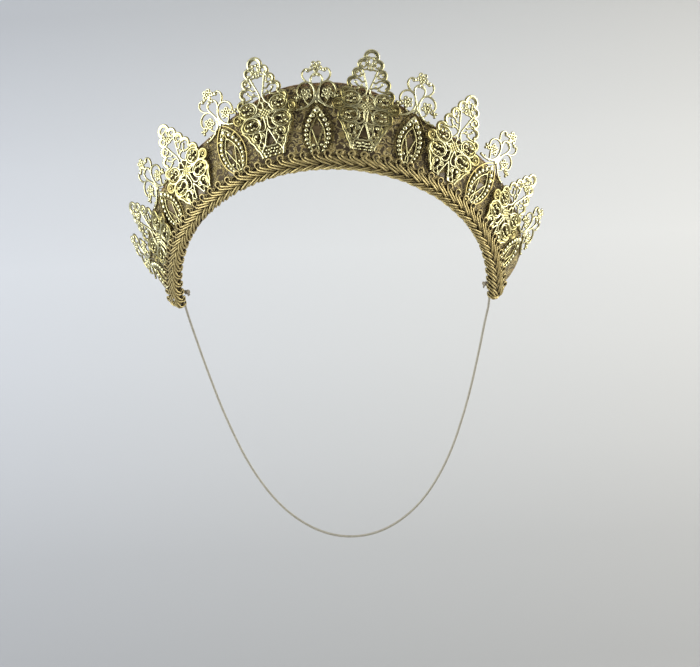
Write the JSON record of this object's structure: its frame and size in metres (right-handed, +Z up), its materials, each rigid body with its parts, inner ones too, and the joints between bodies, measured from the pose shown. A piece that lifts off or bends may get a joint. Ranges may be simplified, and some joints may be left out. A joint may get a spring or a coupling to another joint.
{
  "type": "crown",
  "caption": "Halo crown headpiece: a corded, brocade-covered conical band with pierced brass kite and fleur stampings, gimp braid on its lower edge and an elastic.",
  "frame": {"origin": "middle of the head opening, at the centre of the lower edge's half circle, in the plane of the lower edge's centre line", "axes": "as worn: +Z up, the wearer faces -Y, +X towards the wearer's left; the crown's own axis leans back 54 degrees from +Z, in the YZ plane"},
  "size_m": [0.2122, 0.0822, 0.2495],
  "materials": {
    "brass": "polished, lightly antiqued",
    "gold_braid": "metallic gold gimp",
    "brocade": "bronze metallic brocade",
    "lining_cloth": "taupe satin",
    "buckram": "stiffened cotton",
    "steel_wire": "drawn wire",
    "cotton_cord": "cotton piping cord",
    "glue": "clear craft glue",
    "elastic": "covered round elastic",
    "elastic_knot": "knotted elastic"
  },
  "bodies": {
    "root": {"buckram_base": "buckram", "lower_edge_wire": "steel_wire", "upper_edge_wire": "steel_wire", "edge_cord": "cotton_cord", "front_cover": "brocade", "top_binding": "brocade", "lining": "lining_cloth", "gimp_braid": "gold_braid", "glue_spots": "glue", "elastic_cord": "elastic", "elastic_knot_left": "elastic_knot", "elastic_knot_right": "elastic_knot", "kite_filigree_1": "brass", "kite_filigree_2": "brass", "kite_filigree_3": "brass", "kite_filigree_4": "brass", "kite_filigree_5": "brass", "kite_filigree_6": "brass", "fleur_filigree_1": "brass", "fleur_filigree_2": "brass", "fleur_filigree_3": "brass", "fleur_filigree_4": "brass", "fleur_filigree_5": "brass", "fleur_filigree_6": "brass", "fleur_filigree_7": "brass"}
  },
  "joints": []
}
